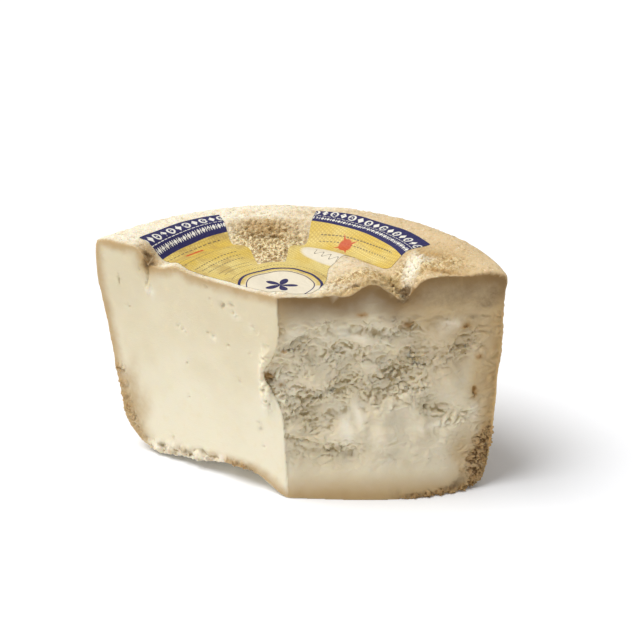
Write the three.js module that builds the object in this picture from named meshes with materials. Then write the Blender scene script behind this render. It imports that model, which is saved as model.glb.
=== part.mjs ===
// A cut piece of a tall, crumbly mountain cheese, a bit more than a third of its wheel, and the
// paper label on its top. Millimetres, +Z up, standing on its underside.
//
// The piece has one smooth cut face, on the left, and one broken face, on the right. The two meet
// in a front edge, which is the wheel's axis at the top and leans out a little at the foot. The top
// is pressed in: a wide rim stands round a groove, a low ring and a flat middle. The underside
// carries on the flat, and rises in a low arch along the smooth cut.
import * as THREE from "three";
import { ImprovedNoise } from "three/addons/math/ImprovedNoise.js";
import { mergeVertices } from "three/addons/utils/BufferGeometryUtils.js";

// Driving dimensions. Angles are counted round the wheel's axis from +X.
const WHEEL_RADIUS = 125;
const RIM_HEIGHT = 130.3;
const MIDDLE_HEIGHT = 122.2;
const TOP_TILT = 0.009;
const SMOOTH_CUT_DEG = 147.3;
const BROKEN_CUT_TOP_DEG = 7.9;
const BROKEN_CUT_FOOT_DEG = 5.0;
const AXIS_FROM_ORIGIN = [-9.35, -60.0];

// The pressed ring of the top: its centre, and the radii of its parts about that centre.
const RING_CENTRE = [-5, 13];
const LOW_RING_RADIUS = 58.5;
const LOW_RING_RISE = 2.0;
const LOW_RING_WIDTH = 8;
const GROOVE_RADIUS = 69;
const GROOVE_DROP = 1.4;
const GROOVE_WIDTH = 6;
const RIM_SLOPE_START = 72;
const RIM_SLOPE_END = 87;
const SHOULDER_START = 112;
const SHOULDER_DROP = 2.4;
const SHOULDER_RADIUS = 123.6;
const TOP_ROUGHNESS = [
  { height: 0.7, size: 19, seed: 4 },
  { height: 0.35, size: 8, seed: 9 },
];

// The hump that the low ring makes beside the broken cut, and the narrow cleft behind it.
const HUMP = { radius: 51, deg: 6, rise: 4.4, acrossMm: 9, alongDeg: 22 };
const CLEFT = { radius: 69.5, deg: 4, rise: -4.2, acrossMm: 4, alongDeg: 16 };
const DIP = { radius: 37, deg: 6, rise: -1.6, acrossMm: 4.5, alongDeg: 12 };
const LEFT_NOTCH = { radius: 87.5, deg: 147, rise: -3.4, acrossMm: 2.6, alongDeg: 5 };

// The side wall at the broken cut and at the smooth cut: its taper, and its rounded foot.
const TAPER_START_HEIGHT = 105;
const BROKEN_END = { taper: 0.055, footRadius: 117, footRise: 2.5 };
const SMOOTH_END = { taper: 0.165, footRadius: 101, footRise: 8 };
const FOOT_CURVE_HEIGHT = 16;
const FOOT_CURVE_POWER = 2.4;
const FOOT_RUN = 20;
const SIDE_SHOULDER_START = 9;
const SIDE_SHOULDER_RUN = 7;
const SIDE_ROUGHNESS = { height: 0.6, atFoot: 1.2, size: 13, seed: 2 };

// The arch of the underside along the smooth cut: full between two radii, then falling away.
const ARCH = { height: 9.8, depth: 38, share: 0.6, full: 24, falls: [35, 65], low: 0.5, ends: 100 };

// The front edge, and the chip that is broken out of it.
const EDGE_LEAN = 6.2;
const CHIP = { height: 74, halfHeight: 13, depth: 12.5, reachSmooth: 27, reachBroken: 13 };

// The broken face: its bulge, and the crags between a line near the top and one near the foot.
const FOOT_BULGE = 7.4;
const TOP_BULGE = 1.0;
const BULGE_POWER = 1.2;
const CRAGS = { depth: 4.6, size: 17, seed: 3, sunk: 0.45 };
const FINE_CRAGS = { depth: 2.1, size: 7, seed: 6, sunk: 0.6 };
const CRAG_SLANT = 0.35;
const CRAG_TOP_LINE = [98, 112];
const CRAG_FOOT_LINE = [26, 50];
const BROKEN_FACE_SHARE = 0.16;

// The paper label: a round middle and two lobes about a centre of their own, with a bare window
// between the lobes. It is cut off along the smooth cut and torn away over the hump.
const LABEL_CENTRE = new THREE.Vector2(1.5, 18);
const LABEL_FRONT_RADIUS = 8;
const LABEL_MIDDLE_RADIUS = 32.5;
const LABEL_OUTER_RADIUS = 94;
const LABEL_USUAL_RADII = [LABEL_FRONT_RADIUS, 50, 108];
const LOBE_START_DEG = 34.5;
const TORN_EDGE_DEG = 57;
const TORN_FRONT_DEG = 14;
const WINDOW_START_DEG = { near: 86, far: 79.5 };
const WINDOW_END_DEG = { near: 104, far: 109.5 };
const LABEL_CLEAR_OF_CUT = { near: 4, far: 11 };
const LABEL_CLEAR_OF_BREAK = 4;
const LABEL_GAP = 0.35;
const LABEL_THICKNESS = 0.5;
const LABEL_REST_REACH = 2.0;

// Grid lines: steps from the front edge to the side, round the wheel, and from foot to top.
const OUT_STEPS = 38;
const ROUND_STEPS = 30;
const UP_STEPS = 34;

const perlin = new ImprovedNoise();
const radians = THREE.MathUtils.degToRad;
const { clamp, lerp, smoothstep } = THREE.MathUtils;
const bell = (x) => Math.exp(-x * x);

// Smooth noise between about -1 and 1, with details of the given size.
function noise(x, y, z, { size, seed }) {
  const perlinSpan = 1.6;
  return perlinSpan * perlin.noise(x / size + seed, y / size + 2.3 * seed, z / size + 0.7);
}

const smoothCutDirection = new THREE.Vector2(
  Math.cos(radians(SMOOTH_CUT_DEG)),
  Math.sin(radians(SMOOTH_CUT_DEG)),
);

// How far a point lies from the plane of the smooth cut.
function distanceFromSmoothCut(x, y) {
  return Math.abs(smoothCutDirection.x * y - smoothCutDirection.y * x);
}

// A rise or dip at one place of the top, long round the wheel and narrow across it.
function localRise({ radius, deg, rise, acrossMm, alongDeg }, x, y) {
  const turn = THREE.MathUtils.radToDeg(Math.atan2(y, x)) - deg;
  return rise * bell((Math.hypot(x, y) - radius) / acrossMm) * bell(turn / alongDeg);
}

// Height of the top surface above a point of the plan.
function topHeight(x, y) {
  const fromRing = Math.hypot(x - RING_CENTRE[0], y - RING_CENTRE[1]);
  const overShoulder = Math.hypot(x, y) - SHOULDER_START;
  const shoulder = clamp(overShoulder / (SHOULDER_RADIUS - SHOULDER_START), 0, 1);
  const rim = smoothstep(fromRing, RIM_SLOPE_START, RIM_SLOPE_END);
  let z = lerp(MIDDLE_HEIGHT, RIM_HEIGHT, rim) - TOP_TILT * x;
  z += LOW_RING_RISE * bell((fromRing - LOW_RING_RADIUS) / LOW_RING_WIDTH);
  z -= GROOVE_DROP * bell((fromRing - GROOVE_RADIUS) / GROOVE_WIDTH);
  z -= SHOULDER_DROP * shoulder ** 2;
  for (const place of [HUMP, CLEFT, DIP, LEFT_NOTCH]) z += localRise(place, x, y);
  for (const waves of TOP_ROUGHNESS) z += waves.height * noise(x, y, 0, waves);
  return z;
}

// Where the front edge stands at a height, before its chip is broken out.
function frontEdge(z) {
  const lean = EDGE_LEAN * clamp(1 - z / MIDDLE_HEIGHT, 0, 1);
  return smoothCutDirection.clone().multiplyScalar(-lean);
}

// The side wall's taper and foot, a share of the way round from the broken to the smooth cut.
function sideAt(around) {
  const mix = (key) => lerp(BROKEN_END[key], SMOOTH_END[key], around);
  return { taper: mix("taper"), footRadius: mix("footRadius"), footRise: mix("footRise") };
}

// Height of the underside: flat, but for the arch and the rounded outer foot.
function undersideHeight(x, y, around) {
  const r = Math.hypot(x, y);
  const { footRadius, footRise } = sideAt(around);
  const foot = clamp((r - footRadius + FOOT_RUN) / FOOT_RUN, 0, 1);
  const [fallStart, fallEnd] = ARCH.falls;
  const fromFrontEdge = frontEdge(0).distanceTo(new THREE.Vector2(x, y));
  const low = lerp(1, ARCH.low, smoothstep(r, fallStart, fallEnd));
  const rise = low * smoothstep(fromFrontEdge, 0, ARCH.full);
  const end = 1 - smoothstep(r, fallEnd, ARCH.ends);
  const across = 1 - smoothstep(distanceFromSmoothCut(x, y), 0, ARCH.depth);
  const share = smoothstep(around, 1 - ARCH.share, 1);
  return footRise * foot ** 2 + ARCH.height * rise * end * across * share;
}

// Radius of the side wall at a height.
function sideRadius(around, z) {
  const { taper, footRadius, footRise } = sideAt(around);
  const wall = (height) => {
    const tapered = WHEEL_RADIUS - taper * Math.max(0, TAPER_START_HEIGHT - height);
    const shoulder = clamp((height - RIM_HEIGHT + SIDE_SHOULDER_START) / SIDE_SHOULDER_RUN, 0, 1);
    return tapered - (WHEEL_RADIUS - SHOULDER_RADIUS) * shoulder ** 2;
  };
  const down = clamp((footRise + FOOT_CURVE_HEIGHT - z) / FOOT_CURVE_HEIGHT, 0, 1);
  return wall(z) - (wall(footRise) - footRadius) * down ** FOOT_CURVE_POWER;
}

// How much of the crags a place of the broken face keeps: they fade out towards its four edges.
function cragMask(out, z) {
  const ends = smoothstep(out, 0.01, 0.12) * (1 - smoothstep(out, 0.84, 0.98));
  const topLine = lerp(...CRAG_TOP_LINE, smoothstep(out, 0.1, 0.55));
  const footLine = lerp(...CRAG_FOOT_LINE, smoothstep(out, 0.2, 0.8));
  const belowTop = 1 - smoothstep(z, topLine - 6, topLine + 6);
  return ends * belowTop * smoothstep(z, footLine - 20, footLine + 4);
}

// How far the broken face stands out of the straight line from the front edge to the side.
function brokenFaceRelief(out, z) {
  const low = clamp(1 - z / RIM_HEIGHT, 0, 1) ** BULGE_POWER;
  const bulge = (TOP_BULGE + FOOT_BULGE * low) * Math.sin(Math.PI * out ** BULGE_POWER);
  const along = out * WHEEL_RADIUS;
  const up = z + along * CRAG_SLANT;
  const crags = CRAGS.depth * (noise(along, up, 0, CRAGS) - CRAGS.sunk);
  const fine = FINE_CRAGS.depth * (Math.abs(noise(along, up, 5, FINE_CRAGS)) - FINE_CRAGS.sunk);
  return bulge + cragMask(out, z) * (crags + fine);
}

// How far the chip moves a point in along the smooth cut, for its distance from the front edge.
function chipDepth(around, distance, z) {
  const reach = lerp(CHIP.reachBroken, CHIP.reachSmooth, smoothstep(around, 0, 1));
  const fade = clamp(1 - distance / reach, 0, 1) ** 1.1;
  return CHIP.depth * bell((z - CHIP.height) / CHIP.halfHeight) * fade;
}

// How much the side wall's roughness scales a point's distance from the axis.
function sideRoughness(place, out, up, z) {
  const { height, atFoot } = SIDE_ROUGHNESS;
  const nearSide = smoothstep(out, 0.9, 1) * (height + atFoot * (1 - smoothstep(z, 10, 50)));
  const push = nearSide * noise(place.x, place.y, z, SIDE_ROUGHNESS) * Math.sin(Math.PI * up);
  return 1 + push / Math.max(20, place.length());
}

// A point of the solid: around from 0 at the broken cut to 1 at the smooth cut, out from 0 at the
// front edge to 1 at the side, up from 0 at the underside to 1 at the top.
function solidPoint(around, out, up) {
  const brokenCut = (z) => lerp(BROKEN_CUT_FOOT_DEG, BROKEN_CUT_TOP_DEG, clamp(z / RIM_HEIGHT, 0, 1));
  const angleAt = (z) => radians(lerp(brokenCut(z), SMOOTH_CUT_DEG, around));
  const planAt = (z, radius) => {
    const angle = angleAt(z);
    const side = new THREE.Vector2(Math.cos(angle), Math.sin(angle)).multiplyScalar(radius);
    return frontEdge(z).lerp(side, out);
  };
  const { footRadius, footRise } = sideAt(around);
  const foot = planAt(0, footRadius);
  const top = planAt(RIM_HEIGHT, SHOULDER_RADIUS);
  const z = lerp(undersideHeight(foot.x, foot.y, around), topHeight(top.x, top.y), up);

  const radius = sideRadius(around, lerp(footRise, RIM_HEIGHT - SHOULDER_DROP, up));
  const place = planAt(z, radius);
  const nearBroken = (1 - smoothstep(around, 0, BROKEN_FACE_SHARE)) ** 2;
  const relief = nearBroken * brokenFaceRelief(out, z);
  place.x += relief * Math.sin(angleAt(z));
  place.y -= relief * Math.cos(angleAt(z));
  place.addScaledVector(smoothCutDirection, chipDepth(around, out * radius, z));
  place.multiplyScalar(sideRoughness(place, out, up, z));
  return new THREE.Vector3(place.x, place.y, z);
}

// Adds the two triangles of each cell of a grid of points to a list of triangle corners.
function addGrid(corners, rows, columns, pointAt, flip) {
  const at = (i, j) => pointAt(i / rows, j / columns);
  for (let i = 0; i < rows; i++)
    for (let j = 0; j < columns; j++) {
      const [a, b, c, d] = [at(i, j), at(i + 1, j), at(i + 1, j + 1), at(i, j + 1)];
      const cell = flip ? [a, c, b, a, d, c] : [a, b, c, a, c, d];
      corners.push(...cell);
    }
}

// The smooth cut is one plane, so a fan of triangles from its middle to its outline fills it.
function addSmoothCut(corners) {
  const outline = [];
  for (let i = 0; i < OUT_STEPS; i++) outline.push(solidPoint(1, i / OUT_STEPS, 0));
  for (let i = 0; i < UP_STEPS; i++) outline.push(solidPoint(1, 1, i / UP_STEPS));
  for (let i = OUT_STEPS; i > 0; i--) outline.push(solidPoint(1, i / OUT_STEPS, 1));
  for (let i = UP_STEPS; i > 0; i--) outline.push(solidPoint(1, 0, i / UP_STEPS));
  const middle = solidPoint(1, 0.5, 0.5);
  outline.forEach((point, i) => {
    corners.push(middle, outline[(i + 1) % outline.length], point);
  });
}

// Closes a list of triangle corners into a geometry, without the triangles that have no area.
function closedGeometry(corners) {
  const raw = new THREE.BufferGeometry().setFromPoints(corners);
  const geometry = mergeVertices(raw, 1e-3);
  const index = [...geometry.index.array];
  const kept = [];
  for (let i = 0; i < index.length; i += 3) {
    const [a, b, c] = index.slice(i, i + 3);
    if (a !== b && b !== c && c !== a) kept.push(a, b, c);
  }
  geometry.setIndex(kept);
  geometry.computeVertexNormals();
  return geometry;
}

function cheeseGeometry() {
  const corners = [];
  addGrid(corners, ROUND_STEPS, OUT_STEPS, (i, j) => solidPoint(i, j, 1), true);
  addGrid(corners, ROUND_STEPS, OUT_STEPS, (i, j) => solidPoint(i, j, 0), false);
  addGrid(corners, ROUND_STEPS, UP_STEPS, (i, j) => solidPoint(i, 1, j), false);
  addGrid(corners, OUT_STEPS, UP_STEPS, (i, j) => solidPoint(0, i, j), false);
  addSmoothCut(corners);
  return closedGeometry(corners);
}

// The highest place of the top close to a point, on which a sheet laid there comes to rest.
function restHeight(x, y) {
  let highest = topHeight(x, y);
  for (let i = 0; i < 8; i++) {
    const angle = (i * Math.PI) / 4;
    const nearX = x + LABEL_REST_REACH * Math.cos(angle);
    const nearY = y + LABEL_REST_REACH * Math.sin(angle);
    highest = Math.max(highest, topHeight(nearX, nearY));
  }
  return highest;
}

// How far from the axis a circle about the label's centre is met in a direction.
function labelCircle(angle, radius) {
  const along = LABEL_CENTRE.dot(new THREE.Vector2(Math.cos(angle), Math.sin(angle)));
  return along + Math.sqrt(radius ** 2 - LABEL_CENTRE.lengthSq() + along ** 2);
}

// Angles at which the label's edges cross a circle about the axis: the torn edge and the end of
// the lobe, the two sides of the window, and the edge along the smooth cut.
function labelEdges(radius) {
  const turnOf = (distance) => THREE.MathUtils.radToDeg(Math.asin(Math.min(1, distance / radius)));
  const mix = ({ near, far }, share) => lerp(near, far, share);
  const torn = lerp(TORN_FRONT_DEG, TORN_EDGE_DEG, smoothstep(radius, 18, 56));
  const start = lerp(torn, LOBE_START_DEG, smoothstep(radius, 75, 80));
  const breakEnd = BROKEN_CUT_TOP_DEG + turnOf(LABEL_CLEAR_OF_BREAK);
  const windowShare = smoothstep(radius, 66, 84);
  const clear = mix(LABEL_CLEAR_OF_CUT, smoothstep(radius, 72, 90));
  return [
    Math.max(start, breakEnd),
    mix(WINDOW_START_DEG, windowShare),
    mix(WINDOW_END_DEG, windowShare),
    SMOOTH_CUT_DEG - turnOf(clear),
  ];
}

// A point of the label's plan. Turn runs from 0 to 3 past its edges, ring from 0 at the front to
// 1 at the edge of the middle and 2 at the ends of the lobes.
function labelPlan(turn, ring) {
  const block = Math.min(2, Math.floor(turn));
  const band = Math.min(1, Math.floor(ring));
  const usual = lerp(LABEL_USUAL_RADII[band], LABEL_USUAL_RADII[band + 1], ring - band);
  const edges = labelEdges(usual);
  const angle = radians(lerp(edges[block], edges[block + 1], turn - block));
  const middle = labelCircle(angle, LABEL_MIDDLE_RADIUS);
  const stops = [LABEL_FRONT_RADIUS, middle, labelCircle(angle, LABEL_OUTER_RADIUS)];
  const radius = lerp(stops[band], stops[band + 1], ring - band);
  return [radius * Math.cos(angle), radius * Math.sin(angle)];
}

// Numbers from the first up to but without the last, in equal steps.
function steps(from, to, count) {
  return Array.from({ length: count }, (_, i) => lerp(from, to, i / count));
}

function labelGeometry() {
  const turns = [...steps(0, 1, 13), ...steps(1, 2, 8), ...steps(2, 3, 11), 3];
  const rings = [...steps(0, 1, 7), ...steps(1, 2, 18), 2];
  const place = (i, j, above) => {
    const [x, y] = labelPlan(turns[i], rings[j]);
    return new THREE.Vector3(x, y, restHeight(x, y) + LABEL_GAP + above);
  };
  const isPaper = (i, j) => {
    if (i < 0 || j < 0 || i >= turns.length - 1 || j >= rings.length - 1) return false;
    const inWindow = turns[i] >= 1 && turns[i] < 2 && rings[j] >= 1;
    return !inWindow;
  };
  const corners = [];
  const addQuad = (a, b, c, d) => corners.push(a, b, c, a, c, d);
  const addWall = (i0, j0, i1, j1) =>
    addQuad(
      place(i0, j0, 0),
      place(i1, j1, 0),
      place(i1, j1, LABEL_THICKNESS),
      place(i0, j0, LABEL_THICKNESS),
    );
  for (let i = 0; i < turns.length - 1; i++)
    for (let j = 0; j < rings.length - 1; j++) {
      if (!isPaper(i, j)) continue;
      const ring = [
        [i, j],
        [i, j + 1],
        [i + 1, j + 1],
        [i + 1, j],
      ];
      addQuad(...ring.map(([p, q]) => place(p, q, LABEL_THICKNESS)));
      addQuad(...ring.reverse().map(([p, q]) => place(p, q, 0)));
      if (!isPaper(i - 1, j)) addWall(i, j, i, j + 1);
      if (!isPaper(i + 1, j)) addWall(i + 1, j + 1, i + 1, j);
      if (!isPaper(i, j - 1)) addWall(i + 1, j, i, j);
      if (!isPaper(i, j + 1)) addWall(i, j + 1, i + 1, j + 1);
    }
  return closedGeometry(corners);
}

function namedMesh(name, geometry, color, roughness) {
  const material = new THREE.MeshStandardMaterial({ color, roughness, metalness: 0 });
  const mesh = new THREE.Mesh(geometry, material);
  mesh.name = name;
  return mesh;
}

const part = new THREE.Group();
part.add(namedMesh("cheese", cheeseGeometry(), 0xe6dcc0, 0.6));
part.add(namedMesh("label", labelGeometry(), 0xe3c65a, 0.75));
part.position.set(AXIS_FROM_ORIGIN[0], AXIS_FROM_ORIGIN[1], 0);

export default part;
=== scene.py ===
"""A cut piece of a crumbly mountain cheese and the paper label on its top.

Two pieces stand for the two solids of the frame. The cheese starts as a copy of its solid, gets an
even fine mesh, and is then worked layer by layer: each layer paints a vertex group by place and
pushes the surface with a Displace modifier. The label starts as the top side of its solid, is laid
on the cheese and gets its thickness. All lengths are metres unless a name says millimetres.
"""

import math
import random

import bpy
import numpy as np
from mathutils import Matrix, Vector
from mathutils.bvhtree import BVHTree


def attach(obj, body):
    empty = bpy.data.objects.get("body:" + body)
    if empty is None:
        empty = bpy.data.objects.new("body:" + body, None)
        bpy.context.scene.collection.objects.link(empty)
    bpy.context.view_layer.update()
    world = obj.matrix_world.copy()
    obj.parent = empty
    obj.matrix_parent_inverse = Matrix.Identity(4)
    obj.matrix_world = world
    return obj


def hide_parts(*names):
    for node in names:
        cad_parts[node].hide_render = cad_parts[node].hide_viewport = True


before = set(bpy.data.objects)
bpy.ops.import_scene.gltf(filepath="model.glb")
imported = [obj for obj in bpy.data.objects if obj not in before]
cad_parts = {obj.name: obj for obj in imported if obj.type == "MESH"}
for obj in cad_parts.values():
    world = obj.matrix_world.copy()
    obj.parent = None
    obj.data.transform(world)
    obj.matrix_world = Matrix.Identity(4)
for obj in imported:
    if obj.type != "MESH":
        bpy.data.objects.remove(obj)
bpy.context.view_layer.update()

MM = 0.001

# The wheel: its axis in the frame, its size, and the directions of the two cut faces.
AXIS = np.array([-9.35, -60.0, 0.0])
WHEEL_RADIUS_MM = 125.0
SMOOTH_CUT_DEG = 147.3
BROKEN_CUT_DEG = 6.5

# The label's plan: the centre of its rings, counted from the wheel's axis.
LABEL_CENTRE_MM = (1.5, 18.0)
PAPER_MM = 0.14
PAPER_GAP_MM = 0.12

# The mesh: the grid of the fine surface, and the number of triangles that is kept of it.
FINE_MM = 0.6
KEPT_TRIANGLES = 192000

# How far distances are followed: to a face near its edges, to the rind inside the paste, and in
# plan to the label, for which only points above the lowest place of the top count.
EDGE_REACH_MM = 2.0
PASTE_REACH_MM = 20.0
LABEL_REACH_MM = 9.0
LOWEST_TOP_MM = 112


# ---------------------------------------------------------------- places and weights

def smoothstep(value, start, end):
    """0 before start, 1 after end, and an even S between; start may be the larger one."""
    share = np.clip((value - start) / (end - start), 0.0, 1.0)
    return share * share * (3 - 2 * share)


def points(piece):
    """The piece's points in millimetres, counted from the wheel's axis at the floor."""
    flat = np.empty(len(piece.data.vertices) * 3, np.float32)
    piece.data.vertices.foreach_get("co", flat)
    return flat.reshape(-1, 3).astype(float) / MM - AXIS


def normals(piece):
    """The piece's normals, one row for each point."""
    flat = np.empty(len(piece.data.vertices) * 3, np.float32)
    piece.data.vertices.foreach_get("normal", flat)
    return flat.reshape(-1, 3).astype(float)


def along(place, degrees):
    """How far from the wheel's axis a point lies along a cut's direction."""
    turn = math.radians(degrees)
    return place[:, 0] * math.cos(turn) + place[:, 1] * math.sin(turn)


def patches(across, up, places, soft=1.0):
    """Weights of listed patches. Each is (across, up, half width, half height, slant in degrees,
    weight); the patches add up, and soft widens their fading edge."""
    total = np.zeros(len(across))
    for middle, height, half_width, half_height, slant, weight in places:
        turn = math.radians(slant)
        right, above = across - middle, up - height
        along_it = right * math.cos(turn) + above * math.sin(turn)
        across_it = above * math.cos(turn) - right * math.sin(turn)
        reach = np.hypot(along_it / half_width, across_it / half_height)
        total += weight * (1 - smoothstep(reach, 1 - 0.6 * soft, 1 + 0.4 * soft))
    return total


# ---------------------------------------------------------------- modelling helpers

def select_only(piece):
    """Makes the piece the only one that is selected, and the active one."""
    bpy.ops.object.select_all(action="DESELECT")
    piece.select_set(True)
    bpy.context.view_layer.objects.active = piece


def edit(picks=None):
    """Goes to edit mode; picks names what is selected from then on, with nothing selected yet."""
    bpy.ops.object.mode_set(mode="EDIT")
    if picks:
        bpy.ops.mesh.select_mode(type=picks)
        bpy.ops.mesh.select_all(action="DESELECT")


def leave_edit():
    bpy.ops.object.mode_set(mode="OBJECT")


def copy_of_solid(node, name):
    """A new piece with the shape of one of the frame's solids, its doubles merged into quads."""
    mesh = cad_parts[node].data.copy()
    mesh.name = name
    mesh.materials.clear()
    piece = bpy.data.objects.new(name, mesh)
    bpy.context.scene.collection.objects.link(piece)
    select_only(piece)
    bpy.ops.mesh.customdata_custom_splitnormals_clear()
    edit()
    bpy.ops.mesh.select_all(action="SELECT")
    bpy.ops.mesh.remove_doubles(threshold=0.001 * MM)
    flat_enough = math.radians(70)
    bpy.ops.mesh.tris_convert_to_quads(face_threshold=flat_enough, shape_threshold=flat_enough)
    leave_edit()
    return piece


def apply_modifier(piece, kind, **settings):
    """Adds a modifier to the piece, with its settings, and applies it."""
    modifier = piece.modifiers.new(kind.lower(), kind)
    for name, value in settings.items():
        setattr(modifier, name, value)
    select_only(piece)
    bpy.ops.object.modifier_apply(modifier=modifier.name)


def paint_group(piece, weights):
    """The vertex group that tells a modifier how much it works where."""
    piece.vertex_groups.clear()
    group = piece.vertex_groups.new(name="worked")
    for index in np.nonzero(weights > 0.002)[0]:
        group.add([int(index)], float(weights[index]), "REPLACE")
    return group.name


def push(piece, weights, height_mm, texture=None, middle=0.5, space=None):
    """Moves the surface out by height_mm where the weight is 1: evenly, or as a texture says."""
    settings = {"vertex_group": paint_group(piece, weights), "strength": height_mm * MM}
    if texture:
        settings.update(texture=texture, mid_level=middle, texture_coords="LOCAL")
        if space:
            settings.update(texture_coords="OBJECT", texture_coords_object=space)
    else:
        settings.update(mid_level=0.0)
    apply_modifier(piece, "DISPLACE", **settings)


def texture_of(name, kind, size_mm, **settings):
    """A texture whose details have a size, with its settings."""
    texture = bpy.data.textures.new(name, kind)
    texture.noise_scale = size_mm * MM
    for key, value in settings.items():
        setattr(texture, key, value)
    return texture


def slanted_space(name, degrees, stretch):
    """A space for a texture that runs along the broken face, stretched along a slanted line."""
    empty = bpy.data.objects.new(name, None)
    bpy.context.scene.collection.objects.link(empty)
    empty.rotation_euler = (0, math.radians(-degrees), math.radians(BROKEN_CUT_DEG))
    empty.scale = (stretch, 1, 1)
    return empty


def keep_values(piece, name, values):
    """Stores one number for each point, for the material to read."""
    attribute = piece.data.attributes.get(name) or piece.data.attributes.new(name, "FLOAT", "POINT")
    attribute.data.foreach_set("value", np.asarray(values, np.float32))


# ---------------------------------------------------------------- the cheese's faces

FACES = ("smooth", "broken", "top", "side", "foot")


def face_of(normal, place):
    """Which of the cheese's faces a facet of its solid belongs to."""
    cut = math.radians(SMOOTH_CUT_DEG)
    from_cut = place.y * math.cos(cut) - place.x * math.sin(cut)
    out = Vector((place.x, place.y, 0)).normalized()
    if abs(from_cut) < 0.2 and normal.y < -0.7:
        return "smooth"
    if normal.z > 0.55 and place.z > 100:
        return "top"
    if normal.z < -0.55 and place.z < 30:
        return "foot"
    if normal.dot(out) > 0.5 and place.xy.length > 85 and normal.y > -0.4:
        return "side"
    return "broken"


def solid_faces():
    """The facets of the cheese's solid, one search tree for each of its faces."""
    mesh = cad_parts["cheese"].data
    places = [vertex.co / MM - Vector(AXIS) for vertex in mesh.vertices]
    found = {name: [] for name in FACES}
    for facet in mesh.polygons:
        middle = sum((places[i] for i in facet.vertices), Vector()) / len(facet.vertices)
        found[face_of(facet.normal, middle)].append(tuple(facet.vertices))
    return {name: BVHTree.FromPolygons(places, facets) for name, facets in found.items()}


def distances(tree, place, reach, which=None):
    """How far points lie from a face, up to reach; those left out by which are at 0."""
    which = np.ones(len(place), bool) if which is None else which
    result = np.where(which, float(reach), 0.0)
    for index in np.nonzero(which)[0]:
        near = tree.find_nearest(Vector(place[index]), reach)
        if near[3] is not None:
            result[index] = near[3]
    return result


# ---------------------------------------------------------------- places of what shows
# A patch is (along, up, half width, half height, slant in degrees, weight) in its face's plan, in
# mm. The cuts' plans are the distance from the wheel's axis and the height, the plan of the top and
# of the foot is x and y from the axis, and the side's plan is the distance round it and the height.

# The broken face: slabs that stand out, hollows, and where it is crumbled to small pits.
SLABS = [
    (94, 98, 13, 8, 20, 1.2), (35, 102, 5, 4, 0, 0.8), (45, 95, 13, 4, -10, 1),
    (97, 63, 15, 11, 5, 0.8), (64, 43, 21, 11, 5, 1), (43, 50, 4, 13, 12, 1.2), (37, 42, 6, 7, -20, 1),
    (70, 92, 8, 5, 30, 0.7), (20, 72, 11, 5, 12, 0.8), (52, 78, 8, 4, -15, 0.7),
    (108, 76, 8, 12, 0, 0.7), (10, 44, 8, 4, 20, 0.6), (60, 103, 8, 4, 0, 0.6), (30, 36, 7, 5, 15, 0.5),
    (84, 30, 14, 9, 0, 0.4),
]
HOLLOWS = [
    (27, 105, 7, 2, 8, 1), (10, 104, 2.4, 1.6, 0, 0.6), (45, 110, 2.2, 1.8, 0, 0.9),
    (49, 110.5, 1.8, 1.6, 0, 0.8), (56, 105.5, 2.2, 3.6, -25, 1.4), (73, 100, 3.6, 2.2, 10, 1.2),
    (64, 106, 2, 1.6, 0, 0.8), (105, 97.5, 2.4, 2, 0, 1), (95, 109.5, 2.2, 1.8, 0, 0.9),
    (94, 103.5, 1.8, 1.6, 0, 0.9), (106, 113.6, 5, 1.4, 12, 0.6), (115, 110.7, 2.2, 2, 0, 0.8),
    (112, 80.6, 2.8, 2.2, 10, 1.2), (110, 59.5, 2, 3.6, 15, 1.6), (104, 88.5, 5, 2.2, 20, 0.8),
    (3, 87.8, 3.6, 2, 5, 1.1), (10, 92, 10, 2.2, 25, 1), (18.5, 84, 2, 5, -12, 1.1),
    (26, 82, 2, 1.8, 0, 0.9), (38, 74, 2.4, 2, 0, 1.1), (-5, 71.6, 3.6, 2.4, 0, 1.6),
    (2, 69.6, 2.4, 2, 0, 1.4), (73.5, 86.6, 2.6, 2.2, 0, 1.2), (81, 64.6, 2.8, 2.2, 0, 1.3),
    (86, 59, 2.8, 2.4, 0, 1.4), (83, 53, 3.4, 2.4, 10, 0.9), (22, 59.5, 8, 2, 32, 0.9),
    (31.5, 65, 6, 2, 26, 0.9), (27.6, 27.7, 2.4, 1.5, 0, 0.6), (33, 28.4, 2, 1.5, 0, 0.6),
    (38, 25, 2.4, 1.4, 0, 0.6), (46, 30.4, 3, 1.7, 20, 0.8), (68.5, 33.8, 2, 1.6, 0, 0.6),
    (57.6, 23.5, 2, 1.4, 0, 0.6), (12.5, 33.5, 5.5, 1.4, -25, 0.8), (16, 25.2, 8, 1, -5, 0.5),
    (76, 78, 8, 2.4, 8, 1.1), (62, 80, 6, 2.2, 10, 0.9), (92, 78, 5, 2, 15, 0.9),
    (70, 66, 5, 2.2, 5, 0.9),
]
CRUMBLED = [
    (38, 86, 18, 10, 5, 0.8), (74, 76, 18, 12, 15, 0.8), (56, 66, 20, 12, 0, 0.7),
    (11, 55, 10, 11, 0, 0.7), (21, 46, 9, 6, 0, 0.7), (62, 50, 7, 4, 0, 0.6), (100, 47, 12, 6, 0, 0.6),
    (12, 93, 12, 6, 25, 0.8), (30, 64, 16, 8, 28, 0.7), (98, 88, 14, 10, 0, 0.5),
    (27, 104, 10, 5, 8, 0.6), (34, 33, 15, 8, 0, 0.45), (84, 58, 9, 11, 0, 0.7),
    (8, 72, 14, 14, 0, 0.6), (104, 104, 14, 9, 0, 0.4), (62, 98, 22, 8, 0, 0.5),
    (33, 27, 13, 5, -8, 0.5), (12, 34, 8, 3, -20, 0.5), (106, 84, 10, 8, 0, 0.5),
]
TORN_EDGE = [(-3, 70, 8, 26, 0, 1), (2, 36, 4, 3, 0, 0.8)]
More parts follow.
